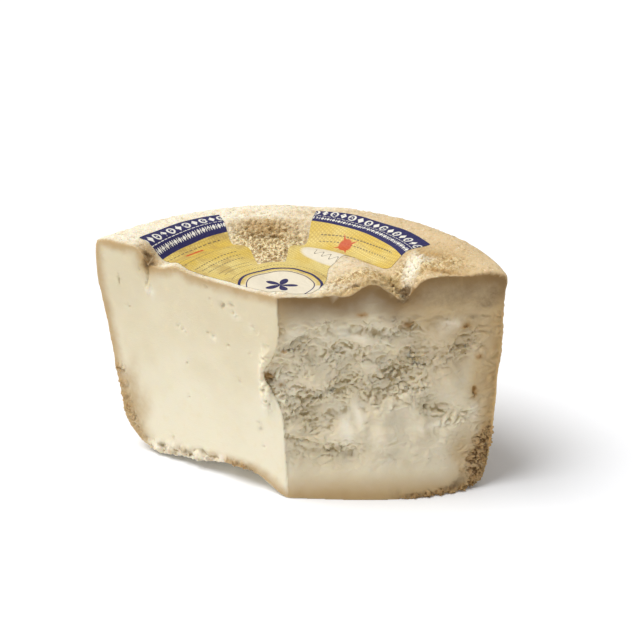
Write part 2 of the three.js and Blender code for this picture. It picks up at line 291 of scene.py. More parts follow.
# The smooth cut: pinholes, the crack under the notch with its chip, and what is broken out of it.
PINHOLES = [
    (108.5, 108, 0.6, 2.2, 0, 1), (108.8, 112, 0.6, 1.1, 0, 0.6), (93.8, 117.5, 0.8, 0.8, 0, 0.8),
    (102.7, 93, 0.8, 0.8, 0, 0.9), (45, 111.6, 1, 0.8, 0, 0.7), (36, 109.2, 1.2, 2, 20, 1.7),
    (30, 110.7, 1.6, 1, 20, 1.1), (29, 106.4, 0.9, 0.9, 0, 0.9), (27, 104.5, 1.6, 0.9, -30, 0.7),
    (68, 89.3, 0.9, 0.6, 0, 0.9), (64.5, 88, 1.2, 0.7, -30, 0.8), (62.5, 86, 1.3, 1, 0, 0.6),
    (47, 89.9, 1, 0.8, 0, 1), (43, 88.9, 1.4, 1.2, -20, 1), (33, 85.9, 1.1, 0.8, 0, 1.2),
    (18.5, 84.5, 1.4, 0.9, -20, 0.7), (14.2, 98.6, 2, 1.6, 30, 0.8), (16, 101, 1.3, 0.9, 0, 0.8),
    (62.6, 67.3, 0.6, 0.8, 0, 1.3), (61.8, 45.8, 0.6, 0.6, 0, 1.3), (50, 48.6, 0.7, 0.6, 0, 0.6),
    (25.7, 65.2, 1.4, 0.8, 20, 0.7), (74.7, 16, 0.9, 0.6, 0, 1), (13.7, 43, 1.5, 0.9, 0, 0.8),
    (12, 39, 1.2, 0.8, 0, 0.7), (10, 28.7, 0.9, 0.7, 0, 0.8), (79, 80, 0.6, 0.9, 0, 0.5),
    (88, 60, 0.7, 0.6, 0, 0.4),
]
CRACK = [
    (87.8, 118.5, 0.6, 3.5, -8, 1.2), (88.4, 112.5, 0.6, 3.5, 8, 0.7), (89.8, 110.5, 0.7, 1.4, 0, 0.9),
]
CRACK_CHIP = [(88.6, 106.5, 1.6, 2.4, 0, 1), (87.4, 110, 0.9, 1.6, 0, 0.6)]
FOOT_TORN = [
    (88, 6, 10, 5, 0, 1), (70, 7, 14, 5.5, 0, 1), (52, 9, 12, 5.5, 0, 1), (36, 11, 6, 3, -15, 0.7),
]
EDGE_TORN = [(7, 72, 5, 20, 0, 1)]
FOOT_CHIP = [(39.9, 11.6, 3, 2.6, -15, 1), (76, 8.2, 1.8, 1.6, 0, 0.6), (59.5, 8.5, 2.4, 2, 10, 0.7)]

# Crusts: (distance from the axis, direction in degrees, height, reach, weight), in mm; those on the
# smooth cut leave the direction out.
DARK_CRUST = [
    (118, 6, 35, 6, 0.8), (116, 5.5, 28, 9, 1), (113, 5, 19, 11, 1), (112, 4.5, 10, 9, 1),
    (119, 9, 23, 11, 0.9), (107, 4.2, 22, 5, 0.4), (105, 3.6, 14, 6, 0.5), (110, 3.8, 2.5, 6, 1),
    (104, 2.5, 1.5, 5, 0.9), (97, 1.2, 0, 5, 1), (91, -0.2, 0, 6, 1), (84, -1.2, 0, 5.5, 1),
    (77, -2.2, 0, 4.6, 0.9), (71, -3, 0, 3.6, 0.7), (118, 15, 14, 10, 0.8), (114, 144, 48, 7, 0.8),
    (109, 143.5, 31, 8, 0.9), (37, 146, 12, 2.6, 0.5), (31, 146, 11.5, 3.4, 0.9),
    (25, 145, 11.5, 3.4, 1), (18, 144, 7.5, 3.2, 0.9), (12, 142, 4, 3, 0.8),
]
DARK_CRUST_ON_CUT = [
    (113, 51, 4, 0.6), (112, 41, 3.6, 0.5), (110.5, 33, 5, 0.55), (108.5, 26.5, 5.4, 0.6),
    (104.5, 20, 5, 0.5), (100.5, 13.5, 4.4, 0.35),
]
PALE_CRUST = [(107, 4, 8, 7, 0.6), (99, 2, 5, 6, 0.6), (88, 0, 2, 4, 0.5)]
PALE_CRUST_ON_CUT = [
    (112.8, 51, 6, 1), (109.5, 41, 5, 0.7), (108.3, 33, 6, 1), (106.5, 24, 7, 1), (102.5, 17, 6, 1),
    (98, 10, 5, 0.7), (93, 6, 5, 0.9), (87, 4.5, 5.5, 1), (80, 5.5, 5.5, 1), (73, 6, 5, 1),
    (66, 6.5, 5.5, 1), (58, 7, 5, 1.2), (50, 7.5, 5, 1), (43, 9, 3, 0.7), (36, 13, 3, 0.7),
]

# The top's rough crust: the ground between the label's lobes, the hump, and the rim's worn patches.
GRIT = {
    "top": [
        (-9, 84, 27, 15, 0, 1), (-5, 66, 20, 14, 0, 1), (-4, 56, 16, 10, 0, 0.9),
        (46, 18, 26, 18, 20, 0.9), (72, 26, 10, 22, -10, 0.8), (-40, 32, 30, 4, -32, 0.3),
        (88, 30, 18, 16, -50, 0.8), (30, 105, 34, 7, -14, 0.3),
    ],
}
# Stains and painted light: masks of one tone each, by face. The umber also paints shade into the
# cleft's tip, the left notch and under the front chip; the pale also paints highlight on the broken
# face's lit slabs.
UMBER_AND_SHADE = {
    # In the top's list, the dark in the cleft's tip and in the left notch is painted shade.
    "top": [
        (-9, 87, 9, 2.6, 2, 0.35), (68.8, 12.5, 3.8, 5, 10, 2), (63, 18, 4, 3, 0, 0.6),
        (53, 9, 6, 2, 20, 0.4), (43, 9.5, 2.4, 2.4, 0, 0.9), (-73.4, 50, 3.4, 2.6, -30, 1.7),
        (90, 16.5, 6, 1.6, -30, 0.35),
    ],
    # In the broken face's list, the two patches under the front chip are painted shadow beneath it.
    "broken": [
        (105, 97.5, 1.3, 1, 0, 0.8), (112, 80.6, 1.3, 1, 10, 0.7), (83, 53, 1.6, 1, 10, 0.6),
        (-4.5, 69.4, 3, 1.2, 0, 0.45), (2.5, 67.8, 1.6, 0.9, 0, 0.4), (110, 57.8, 0.7, 1.8, 15, 0.9),
        (68.5, 117.6, 3, 1.6, 0, 0.8), (115, 112, 6, 4, 20, 0.35), (109, 103.5, 4, 2, 0, 0.3),
        (119, 119, 3, 5, 0, 0.35), (100, 118, 30, 8, 0, 0.3), (73, 100, 1.2, 0.8, 10, 0.5),
        (46, 110, 1, 0.7, 0, 0.5), (78, 1.2, 12, 1.8, 0, 0.9), (92, 2.5, 9, 2, 10, 0.7),
        (101, 6, 6, 3, 30, 0.5),
    ],
    "smooth": [
        (88.6, 122.8, 2.4, 3, 20, 1.6), (81, 7.2, 1.8, 1.4, 0, 0.7), (69.5, 9.4, 1.6, 1.2, 0, 0.5),
        (49, 8.4, 3.4, 1, 0, 0.6), (30, 12.5, 4, 1, 0, 0.7), (20, 10.5, 5, 1.2, 20, 0.7),
    ],
}
RUST = {
    "top": [
        (88, 18, 7, 3.4, -20, 0.7), (97, 15, 9, 2.2, -5, 0.4), (-12, 92, 16, 5, 0, 0.4),
        (85, 44, 10, 5, -40, 0.35), (-73, 50, 6, 5, -30, 0.7),
    ],
    "broken": [
        (-5, 72, 3.4, 2.2, 0, 1.4), (3, 87.8, 2.2, 1, 5, 0.8), (1.8, 68, 1.8, 1.2, 0, 0.9),
        (73, 100, 3, 2, 10, 1), (46, 110, 3.2, 1.8, 0, 0.9), (105, 97.5, 2.6, 2.2, 0, 0.9),
        (110, 59.5, 2, 3.8, 10, 1), (112, 80.6, 2.8, 2.2, 0, 0.8), (73.5, 86.6, 1.8, 1.4, 0, 0.5),
        (81, 64.6, 1.6, 1.2, 0, 0.5), (-3, 79, 2, 2, 0, 0.4),
    ],
    "smooth": [(88, 123, 4.5, 4, 20, 0.9), (110, 46, 4, 8, 0, 0.3), (106, 27, 3.5, 5, 0, 0.25)],
}
MOSS = {
    "broken": [
        (27.6, 27.7, 2.8, 1.5, 0, 0.5), (33, 28.4, 2.4, 1.5, 0, 0.5), (38, 25, 2.6, 1.4, 0, 0.4),
        (23, 60, 8, 1.8, 32, 0.4), (12, 93, 9, 2.2, 25, 0.4), (18.5, 84, 2, 4, -12, 0.3),
        (83, 55, 5, 6, 0, 0.3), (50, 70, 16, 6, 10, 0.15), (-6, 70, 3, 4, 0, 0.25),
        (12, 52, 8, 8, 0, 0.2), (74, 80, 12, 5, 10, 0.2),
    ],
    "top": [(60, 25, 8, 8, 20, 0.45), (50, 9, 12, 2, 0, 0.4), (-8, 78, 16, 5, 0, 0.3)],
    "smooth": [
        (88, 118, 1.3, 4, 8, 0.6), (88.6, 111, 1, 3, 10, 0.3), (108.5, 109, 0.9, 3, 0, 0.4),
        (54, 12.2, 2.4, 1.4, 0, 0.7), (36, 109, 1.6, 2, 20, 0.25), (75, 14.8, 1.2, 0.9, 0, 0.5),
        (12, 40.5, 1.5, 3, 0, 0.3), (84, 8, 3, 1.6, 10, 0.7), (66, 9.5, 3.4, 1.8, 0, 0.7),
        (74, 4.5, 3, 1.4, 0, 0.6), (57, 6.5, 3, 1.4, 0, 0.6),
    ],
}
TAN = {
    "broken": [
        (113, 64, 7, 14, -8, 0.8), (108, 29, 12, 11, -30, 0.6), (117, 45, 5, 8, 0, 0.6),
        (2, 107, 4, 13, 0, 0.6), (118, 85, 8, 32, 0, 0.5), (55, 5, 62, 9, 0, 0.7),
        (99, 110, 30, 15, 0, 1), (102, 18, 8, 14, 10, 0.6), (98, 88, 26, 22, 0, 0.5),
    ],
    "top": [
        (82, 48, 14, 16, 40, 1), (-12, 94, 24, 6, 0, 0.65), (-6, 76, 20, 5, 0, 0.3),
        (-62, 39.8, 32, 2.2, -32.7, 1), (-18, 11.6, 26, 2.4, -32.7, 0.8), (22, 3.6, 24, 2.2, 6.5, 0.6),
        (92, 20, 24, 6, -5, 0.6), (50, 12, 20, 11, 10, 1), (60, 26, 8, 12, 20, 0.9),
        (30, 103, 14, 5, -10, 0.5), (-73, 54, 8, 9, 40, 1), (100, 40, 14, 20, -20, 0.4),
    ],
    "smooth": [
        (106, 38, 6, 20, 12, 0.8), (100, 27, 8, 15, 22, 0.8), (89, 121, 8, 6, 20, 0.8),
        (97, 12, 7, 6, 0, 0.6), (75, 5, 20, 3, 0, 0.3),
    ],
    "side": [(14, 50, 20, 30, 0, 0.4), (300, 40, 30, 25, 0, 0.5), (160, 25, 90, 16, 0, 0.3)],
}
PALE_AND_HIGHLIGHT = {
    # On the broken face, pale paste and painted highlight on the slabs that face the light.
    "broken": [
        (37.5, 43, 4, 11, 8, 1), (45, 50, 3.5, 9, 10, 0.8), (88, 42, 14, 2.2, 8, 0.6),
        (94, 100, 9, 5, 20, 0.5), (44, 97, 10, 3, -10, 0.6), (110, 49, 4, 4, 20, 0.6),
        (64, 55, 6, 3, 0, 0.3), (52, 80, 7, 3, -10, 0.4), (10, 63, 4, 5, 0, 0.5), (2, 73, 3, 3, 0, 0.6),
    ],
    "top": [
        (74, 30, 5, 16, -8, 1), (82, 36, 6, 5, 0, 0.5), (10, 13, 34, 5, 0, 0.6),
        (-24, 19, 14, 4, -32, 0.5),
    ],
    "smooth": [
        (39.9, 11.6, 3.2, 2.8, -15, 1), (86.2, 105.8, 2.4, 3, 0, 0.9), (43, 87.8, 3, 2, 0, 0.6),
        (28.5, 105, 3.4, 2, 0, 0.5), (64, 87.6, 3, 2, 0, 0.4), (18, 100, 3, 2.4, 0, 0.4),
        (88, 6, 8, 4, 0, 0.8), (70, 6, 14, 5, 0, 0.8), (52, 8, 12, 5, 0, 0.8),
    ],
    "foot": [(-60, 38.5, 36, 5, -32.7, 0.6)],
}
# Each mask has the name of its tone; the umber mask also holds painted shade and the pale mask painted
# highlight.
STAINS_AND_PAINTED_LIGHT = {"umber_and_shade": UMBER_AND_SHADE, "rust": RUST, "moss": MOSS, "tan": TAN, "pale": PALE_AND_HIGHLIGHT}


def plans(place):
    """The plan of each face, as two rows of millimetres."""
    around = np.arctan2(place[:, 1], place[:, 0]) * WHEEL_RADIUS_MM
    flat = (place[:, 0], place[:, 1])
    return {
        "smooth": (along(place, SMOOTH_CUT_DEG), place[:, 2]),
        "broken": (along(place, BROKEN_CUT_DEG), place[:, 2]),
        "top": flat,
        "foot": flat,
        "side": (around, place[:, 2]),
    }


def painted(on, plan, patches_by_face, soft=1.0):
    """One mask for the whole cheese, from the patches on its faces."""
    total = sum(on[face] * patches(*plan[face], places, soft) for face, places in patches_by_face.items())
    return np.clip(total, 0, 1)


def crusted(place, spots):
    """Weights of round spots of crust, placed by their distance from the axis, direction and height."""
    total = np.zeros(len(place))
    for radius, degrees, height, reach, weight in spots:
        turn = math.radians(degrees)
        middle = np.array([radius * math.cos(turn), radius * math.sin(turn), height])
        away = np.linalg.norm(place - middle, axis=1) / reach
        total = np.maximum(total, weight * (1 - smoothstep(away, 0.3, 1.1)))
    return total


def on_smooth_cut(spots):
    """Spots that lie on the smooth cut, with its direction added."""
    return [(radius, SMOOTH_CUT_DEG, height, reach, weight) for radius, height, reach, weight in spots]


def spots_round_the_foot():
    """Crust all round the lower side, which the photo's view doesn't reach."""
    random.seed(7)
    spots = []
    for degrees in range(24, 140, 7):
        height = random.uniform(2, 30)
        reach = random.uniform(6, 12)
        direction = degrees + random.uniform(-2, 2)
        weight = random.uniform(0.3, 0.8)
        spots.append((119 - 0.15 * height, direction, height, reach, weight))
    return spots


def distance_from_label(place):
    """How far a point of the top lies from the paper, seen in plan, in mm."""
    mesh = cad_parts["label"].data
    flat = [Vector((vertex.co.x / MM - AXIS[0], vertex.co.y / MM - AXIS[1], 0))
            for vertex in mesh.vertices]
    tree = BVHTree.FromPolygons(flat, [tuple(facet.vertices) for facet in mesh.polygons])
    result = np.full(len(place), LABEL_REACH_MM)
    for index in np.nonzero(place[:, 2] > LOWEST_TOP_MM)[0]:
        near = tree.find_nearest(Vector((place[index, 0], place[index, 1], 0)), LABEL_REACH_MM)
        if near[3] is not None:
            result[index] = near[3]
    return result


def lower_than_around(piece, rounds=10):
    """How far each point lies below the mean of the surface round it, in mm."""
    edges = np.empty(len(piece.data.edges) * 2, np.int32)
    piece.data.edges.foreach_get("vertices", edges)
    starts, ends = edges.reshape(-1, 2).T
    place = points(piece)
    count = np.bincount(edges, minlength=len(place))
    mean = place
    for _ in range(rounds):
        sums = []
        for axis in range(3):
            forth = np.bincount(starts, mean[ends, axis], len(place))
            back = np.bincount(ends, mean[starts, axis], len(place))
            sums.append(forth + back)
        mean = np.stack(sums, axis=1) / count[:, None]
    return ((mean - place) * normals(piece)).sum(1)


def fine_cheese():
    """The cheese's solid, rounded a little between its facets and given an even fine mesh."""
    piece = copy_of_solid("cheese", "cheese_piece")
    edit("EDGE")
    bpy.ops.mesh.edges_select_sharp(sharpness=math.radians(50))
    bpy.ops.transform.edge_crease(value=1.0)
    leave_edit()
    apply_modifier(piece, "SUBSURF", levels=2, render_levels=2)
    apply_modifier(piece, "REMESH", mode="VOXEL", voxel_size=FINE_MM * MM)
    return piece


# The broken face's layers, from coarse to fine: name, kind of texture, size in mm, its settings,
# weight everywhere, more weight where it is crumbled, less on slabs, height in mm and middle level.
VORONOI_CELLS = {"weight_1": 1.0}
VORONOI_BLOCKS = {"weight_1": -1.0, "weight_2": 1.0}
SHARP_CELLS = {"noise_basis": "VORONOI_F2_F1", "noise_distortion": "IMPROVED_PERLIN", "distortion": 1.0}
ROUND_CELLS = {"noise_basis": "VORONOI_F1", "noise_distortion": "IMPROVED_PERLIN", "distortion": 1.0}
THIN_FLAKES = {"noise_type": "HARD_NOISE", "noise_depth": 3}
RIDGES = {"musgrave_type": "RIDGED_MULTIFRACTAL", "octaves": 3}
BROKEN_LAYERS = [
    ("blocks", "VORONOI", 10, VORONOI_BLOCKS, 1.0, 0.0, 0.4, 2.2, 0.35),
    ("shards", "DISTORTED_NOISE", 5.5, SHARP_CELLS, 0.5, 0.5, 0.6, 2.2, 0.5),
    ("flakes", "CLOUDS", 2.2, THIN_FLAKES, 0.45, 0.55, 0.6, 1.4, 0.5),
    ("crevices", "MUSGRAVE", 2.6, RIDGES, 0.0, 1.0, 0.0, -0.8, 0.5),
    ("crumbs", "VORONOI", 1.7, VORONOI_CELLS, 0.05, 0.95, 0.0, 0.9, 0.55),
    ("caves", "VORONOI", 3.0, VORONOI_CELLS, 0.0, 1.0, 0.0, 0.6, 0.5),
]


def work_broken_face(piece, broken, plan):
    """Slabs, hollows and crumbled places of the broken face."""
    across, up = plan["broken"]
    slant = slanted_space("slant", 18, 1.5)
    slab = np.clip(patches(across, up, SLABS, 1.3), 0, 1)
    crumbled = np.clip(patches(across, up, CRUMBLED, 1.3), 0, 1) * (1 - 0.8 * slab)
    rough = broken * smoothstep(up, 8, 30) * (1 - smoothstep(up, 101, 114))
    rough *= smoothstep(across, -12, -5)
    push(piece, broken * patches(across, up, SLABS, 1.2), 1.5)
    for name, kind, size_mm, settings, base, more, less, height_mm, middle in BROKEN_LAYERS:
        weights = rough * (base + more * crumbled) * (1 - less * slab)
        push(piece, weights, height_mm, texture_of(name, kind, size_mm, **settings), middle, slant)
    pits = broken * patches(across, up, HOLLOWS, 1.2)
    push(piece, pits, -0.7)
    push(piece, pits, -1.4, bpy.data.textures["shards"], 0.25, slant)
    bpy.data.objects.remove(slant)
    return crumbled * rough


def work_smooth_cut(piece, smooth, plan):
    """Pinholes, the crack, the chips and the pits at the foot of the smooth cut."""
    push(piece, smooth * patches(*plan["smooth"], PINHOLES + CRACK, 0.6) / 2, -1.15)
    push(piece, smooth * patches(*plan["smooth"], CRACK_CHIP + FOOT_CHIP), 0.8)
    torn_foot = smooth * np.clip(patches(*plan["smooth"], FOOT_TORN), 0, 1)
    push(piece, torn_foot, -4.4, texture_of("clods", "VORONOI", 6.2, **VORONOI_CELLS), 0.46)
    torn_edge = smooth * np.clip(patches(*plan["smooth"], EDGE_TORN), 0, 1)
    push(piece, torn_edge, -2.6, bpy.data.textures["shards"], 0.3)


def flatten_cut(piece, weights):
    """The smooth cut is one straight stroke of the knife: a plane with the faintest unevenness."""
    bpy.ops.object.select_all(action="DESELECT")
    turn = (math.radians(90), 0, math.radians(SMOOTH_CUT_DEG))
    bpy.ops.mesh.primitive_plane_add(size=0.5, location=tuple(AXIS * MM), rotation=turn)
    knife = bpy.context.active_object
    apply_modifier(piece, "SHRINKWRAP", target=knife, wrap_method="NEAREST_SURFACEPOINT",
                   vertex_group=paint_group(piece, weights))
    bpy.data.objects.remove(knife)
    push(piece, weights, 0.16, texture_of("drag of the knife", "CLOUDS", 3.0))


def stand_on_floor(piece):
    """Lumps of crust that reach under the floor are pressed flat on it."""
    select_only(piece)
    edit("VERT")
    leave_edit()
    for index in np.nonzero(points(piece)[:, 2] < 0)[0]:
        piece.data.vertices[index].select = True
    edit()
    bpy.ops.transform.resize(value=(1, 1, 0), center_override=(0, 0, 0))
    leave_edit()


# What work_rim adds and takes, as spots: the fuller left corner, the filled tip of the cleft, and
# the taper of the right corner's foot.
LEFT_CORNER = [(114, 146, 116, 26, 1)]
CLEFT_TIP = [(69.1, 9.7, 117, 4.5, 1)]
RIGHT_FOOT = [(121, 6, 10, 20, 1), (119, 14, 8, 16, 0.8)]


def work_rim(piece, place):
    """The rim's full shoulder, the left corner, the cleft's tip and the right corner's foot."""
    radius = np.hypot(place[:, 0], place[:, 1])
    degrees = np.degrees(np.arctan2(place[:, 1], place[:, 0]))
    shoulder = smoothstep(radius, 100, 118) * smoothstep(place[:, 2], 108, 125)
    right_end = smoothstep(degrees, 25, 8) * smoothstep(place[:, 2], 127, 118)
    push(piece, shoulder * smoothstep(degrees, 150, 60) * (1 - 0.7 * right_end), 2.3)
    for spots, height_mm in ((CLEFT_TIP, 1.8), (LEFT_CORNER, 1.3), (RIGHT_FOOT, -1.8)):
        push(piece, crusted(place, spots), height_mm)


def work_rind(piece, rind, sides, bare, grit):
    """The rough rind: waves, dents in the side, grains, and the coarse ground of its open places."""
    push(piece, rind * bare, 1.0, texture_of("rind waves", "CLOUDS", 6, noise_depth=2))
    push(piece, sides, 2.2, texture_of("rind dents", "CLOUDS", 14, noise_depth=3))
    push(piece, rind * bare, 1.1, texture_of("rind grains", "VORONOI", 2.0, **VORONOI_CELLS), 0.4)
    gravel = texture_of("gravel", "DISTORTED_NOISE", 2.6, **ROUND_CELLS)
    gravel.distortion = 0.8
    push(piece, grit * bare, -1.8, gravel, 0.4)


def work_crusts(piece, crust):
    """Hard lumps and the cavities between them."""
    push(piece, crust, -2.4, texture_of("crust lumps", "DISTORTED_NOISE", 2.4, **ROUND_CELLS), 0.34)
    push(piece, crust, -1.0, texture_of("crust nubs", "VORONOI", 1.6, **VORONOI_CELLS), 0.4)


def weights_on_faces(away_from, plan):
    """For each face, the weights of its points, and weights that fade out towards its edges."""
    nearest = np.minimum.reduce(list(away_from.values()))
    on = {name: (away_from[name] <= nearest + 0.02) * 1.0 for name in FACES}
    inner = {}
    for name in FACES:
        to_edge = np.minimum.reduce([away_from[other] for other in FACES if other != name])
        inner[name] = on[name] * smoothstep(to_edge, 0.2, 1.6)
    # The chip in the front edge is torn all the way to its edge.
    torn_edge = np.clip(patches(*plan["broken"], TORN_EDGE), 0, 1)
    inner["broken"] = np.maximum(inner["broken"], 0.8 * torn_edge * on["broken"])
    return on, inner


def keep_masks(piece, place, plan, trees, away_from, on):
    """Stores on the points what the material needs to know about their place."""
    to_rind = np.minimum.reduce([away_from[name] for name in ("top", "side", "foot")])
    to_paste = np.minimum(away_from["smooth"], away_from["broken"])
    keep_values(piece, "rind", smoothstep(to_paste - to_rind, -0.5, 0.5))
    below_rim = smoothstep(place[:, 2], 127, 112)
    keep_values(piece, "side", below_rim * smoothstep(np.hypot(place[:, 0], place[:, 1]), 84, 104))
    keep_values(piece, "broken", on["broken"])
    paste = np.clip(on["top"] + on["side"] + on["foot"], 0, 1) < 0.5
    under = {name: distances(trees[name], place, PASTE_REACH_MM, paste)
             for name in ("top", "side", "foot")}
    keep_values(piece, "under_top", under["top"] * MM)
    keep_values(piece, "under_side", np.minimum(under["side"], under["foot"]) * MM)
    for name, patches_by_face in STAINS_AND_PAINTED_LIGHT.items():
        keep_values(piece, name, painted(on, plan, patches_by_face, 1.4))


def build_cheese():
    """The cheese: its fine mesh, the masks for its material, and then its relief, layer by layer."""
    piece = fine_cheese()
    trees = solid_faces()
    place = points(piece)
    plan = plans(place)
    away_from = {name: distances(trees[name], place, EDGE_REACH_MM) for name in FACES}
    on, inner = weights_on_faces(away_from, plan)
    keep_masks(piece, place, plan, trees, away_from, on)
    bare = smoothstep(distance_from_label(place), 0.3, 2.0)
    grit = painted(on, plan, GRIT)
    keep_values(piece, "grit", grit)
    dark = crusted(place, DARK_CRUST + on_smooth_cut(DARK_CRUST_ON_CUT) + spots_round_the_foot())
    pale = crusted(place, PALE_CRUST + on_smooth_cut(PALE_CRUST_ON_CUT))
    keep_values(piece, "crust", dark)

    flatten_cut(piece, inner["smooth"])
    work_rim(piece, place)
    keep_values(piece, "crumbled", work_broken_face(piece, inner["broken"], plan))
    work_smooth_cut(piece, inner["smooth"], plan)
    sides = inner["side"] * smoothstep(place[:, 2], 116, 100)
    work_rind(piece, inner["top"] + inner["side"], sides, bare, grit * inner["top"])
    work_crusts(piece, np.maximum(dark, 0.5 * pale))
    # How far each point lies below the surface round it, kept for the painted shade in hollows.
    keep_values(piece, "hollow_shade", lower_than_around(piece))
    triangles = sum(len(facet.vertices) - 2 for facet in piece.data.polygons)
    apply_modifier(piece, "DECIMATE", ratio=min(1.0, KEPT_TRIANGLES / triangles))
    stand_on_floor(piece)
    bpy.ops.object.shade_smooth()
    piece.vertex_groups.clear()
    return piece


# ---------------------------------------------------------------- the label

def build_label(cheese):
    """The paper: the top side of its solid, laid on the cheese and given its thickness."""
    piece = copy_of_solid("label", "label_piece")
    mesh = piece.data
    edit("FACE")
    leave_edit()
    for facet in mesh.polygons:
        facet.select = facet.normal.z < 0.3
    edit()
    bpy.ops.mesh.delete(type="FACE")
    bpy.ops.mesh.select_all(action="SELECT")
    bpy.ops.mesh.subdivide(number_cuts=4)
    leave_edit()
    apply_modifier(piece, "SHRINKWRAP", target=cheese, wrap_method="PROJECT", use_project_z=True,
                   use_negative_direction=True, use_positive_direction=True, offset=PAPER_GAP_MM * MM)
    apply_modifier(piece, "SMOOTH", factor=0.5, iterations=4)
    apply_modifier(piece, "SOLIDIFY", thickness=PAPER_MM * MM, offset=1.0)
    select_only(piece)
    bpy.ops.object.shade_smooth_by_angle(angle=math.radians(40))
    return piece


# ---------------------------------------------------------------- materials

def new_material(name, slot_color):
    """A material with its node tree and its Principled BSDF."""
    material = bpy.data.materials.new(name)
    material.use_nodes = True
    material.diffuse_color = (*slot_color, 1)
    return material, material.node_tree, material.node_tree.nodes["Principled BSDF"]


def connect(node, inputs):
    """Gives a node its inputs: numbers, vectors, colours, or the sockets to link."""
    for name, value in inputs.items():
        socket = node.inputs[name]
        if isinstance(value, bpy.types.NodeSocket):
            node.id_data.links.new(value, socket)
        else:
            socket.default_value = (*value, 1) if socket.type == "RGBA" else value


def add_node(tree, kind, inputs=None, **settings):
    """A shader node with its settings and inputs."""
    node = tree.nodes.new("ShaderNode" + kind)
    for name, value in settings.items():
        setattr(node, name, value)
    connect(node, inputs or {})
    return node


def number(tree, name):
    """The values that the mesh keeps under a name."""
    return add_node(tree, "Attribute", attribute_name=name).outputs["Fac"]


def tree_of(*values):
    """The node tree that the sockets among the values are in."""
    return next(value.id_data for value in values if isinstance(value, bpy.types.NodeSocket))


def spread(value, start, end, low=0.0, high=1.0):
    """Maps a value from start..end to low..high with soft ends."""
    inputs = {"Value": value, "From Min": start, "From Max": end, "To Min": low, "To Max": high}
    node = add_node(tree_of(value), "MapRange", inputs, interpolation_type="SMOOTHSTEP")
    return node.outputs["Result"]


def calc(operation, first, second=0.0, clamp=False):
    """One step of arithmetic with numbers and sockets."""
    tree = tree_of(first, second)
    node = add_node(tree, "Math", {0: first, 1: second}, operation=operation, use_clamp=clamp)
    return node.outputs["Value"]


def plus(first, second, clamp=False):
    return calc("ADD", first, second, clamp)


def minus(first, second):
    return calc("SUBTRACT", first, second)


def times(first, second):
    return calc("MULTIPLY", first, second)


def blend(share, first, second, strength=1.0):
    """First where share is 0 and second where it is 1; strength scales the share."""
    if strength != 1.0:
        share = times(share, strength)
    node = add_node(tree_of(share, first, second), "Mix", data_type="RGBA")
    connect(node, {0: share, 6: first, 7: second})
    return node.outputs[2]


def place_in(tree):
    """Where a point is in the frame, in metres."""
    return add_node(tree, "TexCoord").outputs["Object"]


def parts_of(vector):
    """The X, Y and Z of a vector."""
    return add_node(vector.id_data, "SeparateXYZ", {"Vector": vector}).outputs


def noise(tree, size_mm, detail=3.0, roughness=0.5, distortion=0.0):
    """Soft noise with details of a size, between 0 and 1."""
    inputs = {"Vector": place_in(tree), "Scale": 1 / (size_mm * MM), "Detail": detail,
              "Roughness": roughness, "Distortion": distortion}
    return add_node(tree, "TexNoise", inputs).outputs["Fac"]


# The paste's tones, from the smooth cut to the deepest pits; the broken face's tones are darkened a
# little as painted shade, and the pit tones are painted shade in the hollows.
IVORY = (0.86, 0.79, 0.61)
UPPER_IVORY = (0.76, 0.67, 0.47)
BROKEN_IVORY_SHADED = (0.83, 0.755, 0.58)
BROKEN_WARM_SHADED = (0.76, 0.67, 0.48)
PALE_PASTE_AND_HIGHLIGHT = (0.92, 0.86, 0.71)
UNDER_SIDE = (0.53, 0.37, 0.185)
UNDER_TOP = (0.22, 0.125, 0.04)
PIT_SHADE_OLIVE = (0.46, 0.34, 0.15)
PIT_SPECK_SHADE = (0.30, 0.20, 0.07)
CURD = (0.83, 0.73, 0.50)

# The rind's tones.
RIND_CREAM = (0.88, 0.81, 0.64)
RIND_TAN = (0.66, 0.49, 0.28)
RIND_OLIVE_SPECK_AND_SHADE = (0.38, 0.28, 0.12)
RIND_BLOOM = (0.93, 0.88, 0.76)
SIDE_TAN = (0.62, 0.46, 0.26)
SIDE_BROWN = (0.42, 0.28, 0.13)
SIDE_GREY = (0.66, 0.58, 0.43)
GROUND_TAN = (0.84, 0.70, 0.42)
GROUND_BROWN = (0.34, 0.21, 0.07)

# Stains, with the umber tone that also paints shade, and crusts.
UMBER_AND_SHADE_TONE = (0.11, 0.06, 0.02)
RUST_TONE = (0.41, 0.225, 0.065)
MOSS_TONE = (0.28, 0.21, 0.08)
TAN_TONE = (0.51, 0.355, 0.165)
CRUST_TAN = (0.46, 0.285, 0.12)
CRUST_DARK = (0.17, 0.095, 0.035)


def broken_up(tree, mask, size_mm, share=0.6):
    """A mask with its soft edge broken up by noise."""
    ragged = times(minus(noise(tree, size_mm, 4, 0.6), 0.5), 2 * share)
    edge = times(ragged, times(mask, minus(1.3, mask)))
    return plus(mask, times(edge, 2.0), clamp=True)


